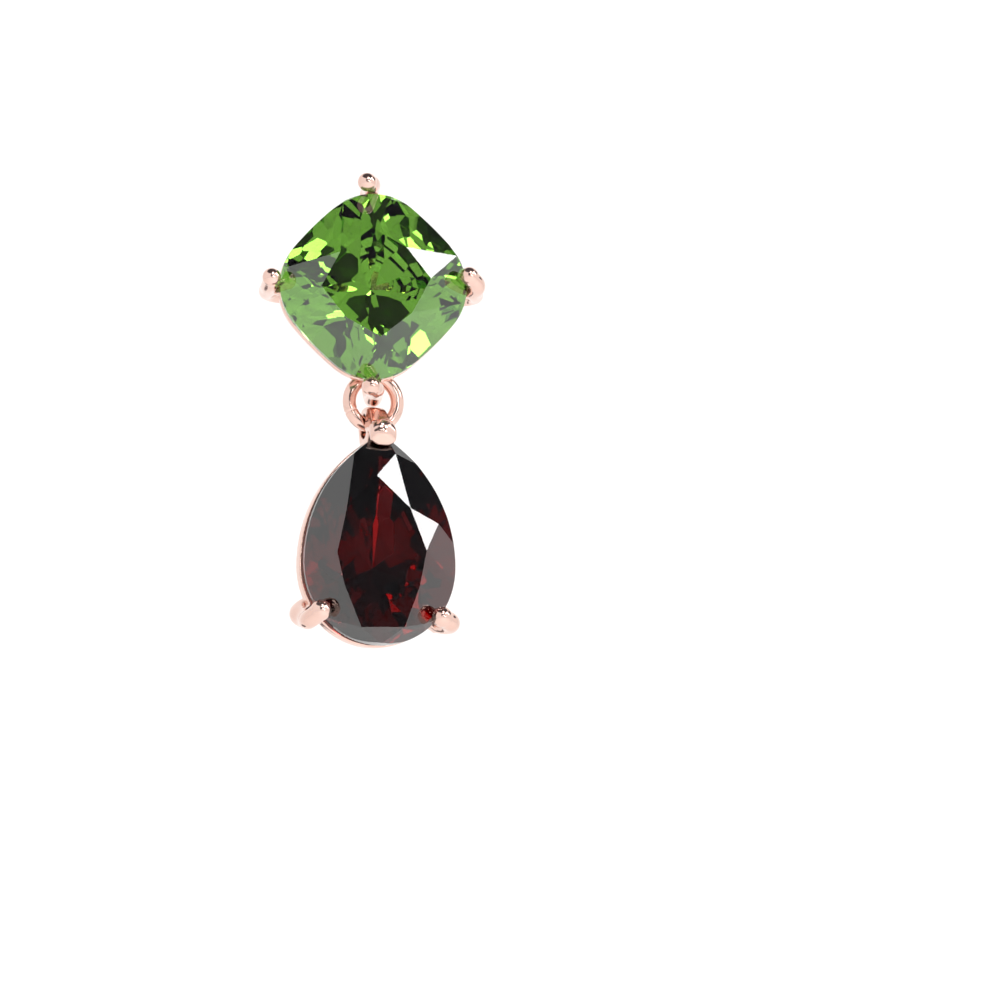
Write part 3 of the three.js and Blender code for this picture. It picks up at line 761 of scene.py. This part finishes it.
# %% Make the drop's claws, rails and stem
CLAW_WIRE, CLAW_BEAD = 0.9, 1.0
CLAW_TURN = math.radians(38)
DROP_RAIL_WIDTH, DROP_RAIL, DROP_RAIL_DEPTH = 0.38, 0.88, 0.65
# The rail at the back is this share of the pear's outline.
BACK_SHARE, BACK_RAIL_WIDTH, BACK_RAIL, BACK_RAIL_DEPTH = 0.6, 0.7, 2.95, 0.9
# Wires end in the middle of that rail.
IN_RAIL_WIDTH, IN_RAIL_DEPTH = BACK_RAIL_WIDTH / 2, BACK_RAIL_DEPTH / 2
CLAW_BEAD_DEPTH, CLAW_GIRDLE_DEPTH, CLAW_SHANK_DEPTH = -0.75, -0.225, 2.4
CLAW_BRIDGE, CLAW_BRIDGE_HALF = 0.99, 0.45
STEM_BOW = 0.3


def drop_claw(side, out, along, lean, rise):
    """A side claw. side is 1 on the right and -1 on the left."""
    turn = -CLAW_TURN if side > 0 else math.pi + CLAW_TURN
    edge = reach(PEAR, turn)
    shank = edge + CLEAR + CLAW_WIRE / 2

    def at(far, y, aside=0):
        return Vector((far * math.cos(turn) - aside * math.sin(turn), y,
                       far * math.sin(turn) + aside * math.cos(turn))) + PEAR_FOOT

    tip = at(edge + out, CLAW_BEAD_DEPTH, along)
    path = [tip, at(shank + CLEAR, CLAW_GIRDLE_DEPTH), at(shank, DROP_RAIL),
            at(shank - lean, CLAW_SHANK_DEPTH) + Vector((0, 0, rise)),
            at(BACK_SHARE * edge - IN_RAIL_WIDTH, BACK_RAIL + IN_RAIL_DEPTH)]
    inward, half = shank - CLAW_BRIDGE, CLAW_BRIDGE_HALF
    bridge = [at(far, DROP_RAIL, aside)
              for far, aside in ((inward, -half), (shank, -half), (shank, half), (inward, half))]
    return [wire(path, CLAW_WIRE), bead(tip, CLAW_BEAD),
            prism(bridge, Vector((0, DROP_RAIL_DEPTH, 0)))]


def drop_rails():
    back_outline = [p * BACK_SHARE for p in PEAR]
    rails = [rail(PEAR, DROP_RAIL_WIDTH, DROP_RAIL, DROP_RAIL_DEPTH),
             rail(back_outline, BACK_RAIL_WIDTH, BACK_RAIL, BACK_RAIL_DEPTH)]
    for mesh in rails:
        mesh.transform(Matrix.Translation(PEAR_FOOT))
    return rails


def drop_stem():
    foot = Vector((0, BACK_RAIL + IN_RAIL_DEPTH, BACK_SHARE * SHOULDER - IN_RAIL_WIDTH)) + PEAR_FOOT
    head = Vector((0, OUTER / 4, -OUTER))
    return wire([head, head.lerp(foot, 0.5) + Vector((0, STEM_BOW, 0)), foot], CLAW_WIRE)


# Side, how far the tip stands out and lies along, and the shank's lean and rise.
DROP_CLAWS = [(1, 0, -0.2, 0.45, 0.2), (-1, 0.15, -0.05, 0.1, 0.5)]
bail = cast([tip_claw(), bail_loop(), brow()], TUMBLED_LONG)
drop_metal = drop_rails()
for mesh in (bail, drop_stem(), bail_cheek()):
    drop_metal.append(carved(mesh, bail_bore(), "DIFFERENCE"))
for claw in DROP_CLAWS:
    drop_metal += drop_claw(*claw)
placed("drop_claws_and_bail", cast(drop_metal), DROP_AT, "drop", "drop_setting",
       [plate])

# %% [markdown]
# ## Camera
# The photograph was taken with a long lens from a little to the left of the earring and a
# little below its stones. One millimetre at the stud is 21.2 pixels of the 1000 pixel frame.

# %% Place the camera
AZIMUTH, ELEVATION = math.radians(-7), math.radians(-8)
DISTANCE = 0.42
SENSOR = 36
# The picture's size in pixels, its scale, and where the middle of the green stone stands.
PICTURE = 1000
PIXELS_PER_MM = 21.2
STONE_PIXEL = (373.5, 286.3)

back = Vector((math.sin(AZIMUTH) * math.cos(ELEVATION), -math.cos(AZIMUTH) * math.cos(ELEVATION),
               math.sin(ELEVATION)))
right = Vector((math.cos(AZIMUTH), math.sin(AZIMUTH), 0))
upward = back.cross(right)
stone = STUD_AT.translation * MM
aim = (stone + right * (PICTURE / 2 - STONE_PIXEL[0]) / PIXELS_PER_MM * MM
       + upward * (STONE_PIXEL[1] - PICTURE / 2) / PIXELS_PER_MM * MM)
lens = bpy.data.cameras.new("camera")
lens.sensor_width = SENSOR
lens.lens = SENSOR * DISTANCE / (PICTURE / PIXELS_PER_MM * MM)
lens.clip_start, lens.clip_end = 0.01, 20
camera = linked("camera", lens)
camera.location = aim + back * DISTANCE
camera.rotation_mode = "QUATERNION"
camera.rotation_quaternion = (-back).to_track_quat("-Z", "Y")
bpy.context.scene.camera = camera
print("lens mm:", round(lens.lens, 1), "camera:", [round(v, 3) for v in camera.location])

# %% [markdown]
# ## Studio
# A stone shows its surroundings more than itself. The studio is a white sweep under and behind
# the earring, with soft white light all round. It is made of surfaces and lamps and not of a
# picture wrapped round the scene, so each can be moved by itself until the right facet
# shows it.

# %% Floor and sweep
# In metres: the floor's height and front edge, the wall's place and top, the bend between
# them and its steps, and half the width of the paper.
FLOOR_Z, FLOOR_FRONT, WALL_Y, WALL_TOP = -0.16, -0.9, 0.5, 0.9
BEND, BEND_STEPS, HALF_PAPER = 0.2, 16, 1.2


def sweep():
    bm = bmesh.new()
    line = [(FLOOR_FRONT, FLOOR_Z), (WALL_Y - BEND, FLOOR_Z)]
    line += [(WALL_Y - BEND + BEND * math.sin(t), FLOOR_Z + BEND - BEND * math.cos(t))
             for t in (math.pi / 2 * i / BEND_STEPS for i in range(1, BEND_STEPS + 1))]
    line += [(WALL_Y, WALL_TOP)]
    rows = [[bm.verts.new((x, y, z)) for x in (-HALF_PAPER, HALF_PAPER)] for y, z in line]
    for a, b in zip(rows, rows[1:]):
        bm.faces.new((a[0], a[1], b[1], b[0]))
    mesh = mesh_of(bm)
    for face in mesh.polygons:
        face.use_smooth = True
    return linked("studio_sweep", mesh)


def paper(name, colour):
    material, tree = fresh_material(name)
    place = add(tree, "ShaderNodeTexCoord").outputs["Object"]
    # Paper fibres are far finer. A 2 mm mottle is the finest that shows from here.
    mottle = add(tree, "ShaderNodeTexNoise", {"Scale": 1 / (2 * MM)}, {"Vector": place})
    grain = add(tree, "ShaderNodeBump", {"Strength": 0.1, "Distance": 0.05 * MM},
                {"Height": mottle.outputs["Fac"]})
    matt = add(tree, "ShaderNodeBsdfPrincipled", {"Base Color": linear(colour), "Roughness": 0.9},
               {"Normal": grain.outputs["Normal"]})
    add(tree, "ShaderNodeOutputMaterial", links={"Surface": matt.outputs["BSDF"]})
    return material


backdrop = sweep()
backdrop.data.materials.append(paper("white_paper", "#F7F7F6"))
print("sweep faces:", len(backdrop.data.polygons))

# %% [markdown]
# ## Cloths and lamps
# Black cloths hang in front, above and to the right, out of the picture: they give the
# stones their dark depths and the metal its dark lines. A flat facet mirrors one small patch
# of the studio, so each softbox stands just where a facet looks: two light up the star facets
# on the right of the tables, and one above the camera shines on the claws. Five small cards
# of light give the sparks inside the stones. Larger lamps would turn whole crowns white.

# %% World, cloths and softboxes
WORLD_STRENGTH = 1.05
CLOTH_STEPS = 48
world = bpy.data.worlds.new("soft white studio")
bpy.context.scene.world = world
world.use_nodes = True
world.node_tree.nodes["Background"].inputs["Color"].default_value = (1, 1, 1, 1)
world.node_tree.nodes["Background"].inputs["Strength"].default_value = WORLD_STRENGTH


def toward(azimuth, elevation):
    """A direction from the earring: azimuth 0 is the front, positive to the right."""
    a, e = math.radians(azimuth), math.radians(elevation)
    return Vector((math.sin(a) * math.cos(e), -math.cos(a) * math.cos(e), math.sin(e)))


def softbox(name, azimuth, elevation, distance, width, height, power):
    light = bpy.data.lights.new(name, "AREA")
    light.shape, light.size, light.size_y, light.energy = "RECTANGLE", width, height, power
    obj = linked(name, light)
    way = toward(azimuth, elevation)
    obj.location = way * distance
    obj.rotation_mode = "QUATERNION"
    obj.rotation_quaternion = way.to_track_quat("Z", "Y")
    obj.visible_camera = False


def cloth(name, azimuth, elevation, distance, wide, high, material):
    """Cloth on an oval frame. Stones and metal mirror it, but it doesn't shade the paper."""
    way = toward(azimuth, elevation)
    bm = bmesh.new()
    place = Matrix.Translation(way * distance) @ way.to_track_quat("Z", "Y").to_matrix().to_4x4()
    rim = [Vector((math.cos(t) * wide / 2, math.sin(t) * high / 2, 0))
           for t in full_turn(CLOTH_STEPS)]
    bm.faces.new([bm.verts.new(place @ point) for point in rim])
    obj = linked(name, mesh_of(bm))
    obj.data.materials.append(material)
    obj.visible_camera = obj.visible_shadow = obj.visible_diffuse = False


# Azimuth and elevation in degrees, distance and size in metres.
black_cloth = paper("black_cloth", "#454247")
cloth("studio_cloth_front", 9, 17, 0.6, 0.54, 0.44, black_cloth)
cloth("studio_cloth_top", 10, 80, 0.6, 1.1, 1.1, black_cloth)
cloth("studio_cloth_right", 104, 29, 0.6, 0.4, 0.3, black_cloth)
# A grey card behind the earring, where one facet of the pear would show the white paper.
cloth("studio_card_behind", -158, -25, 0.25, 0.06, 0.1, paper("grey_card", "#6E6A6C"))
# The softboxes have their power in watts last.
softbox("softbox_upper_right", 61.5, 35, 0.5, 0.1, 0.1, 0.25)
softbox("softbox_right", 77, 21.5, 0.5, 0.09, 0.075, 0.16)
softbox("softbox_above_camera", 18, 50, 0.5, 0.08, 0.08, 0.3)
softbox("spark_left", 8, 30, 0.5, 0.11, 0.07, 0.17)
softbox("spark_right", 31, -2, 0.5, 0.06, 0.06, 0.09)
softbox("spark_upper", 35, 27, 0.5, 0.08, 0.08, 0.18)
softbox("spark_front", 16, 8, 0.5, 0.06, 0.1, 0.12)
softbox("spark_beside_camera", 3.8, 5.5, 0.5, 0.03, 0.03, 0.025)
bpy.context.scene.view_settings.view_transform = "Standard"
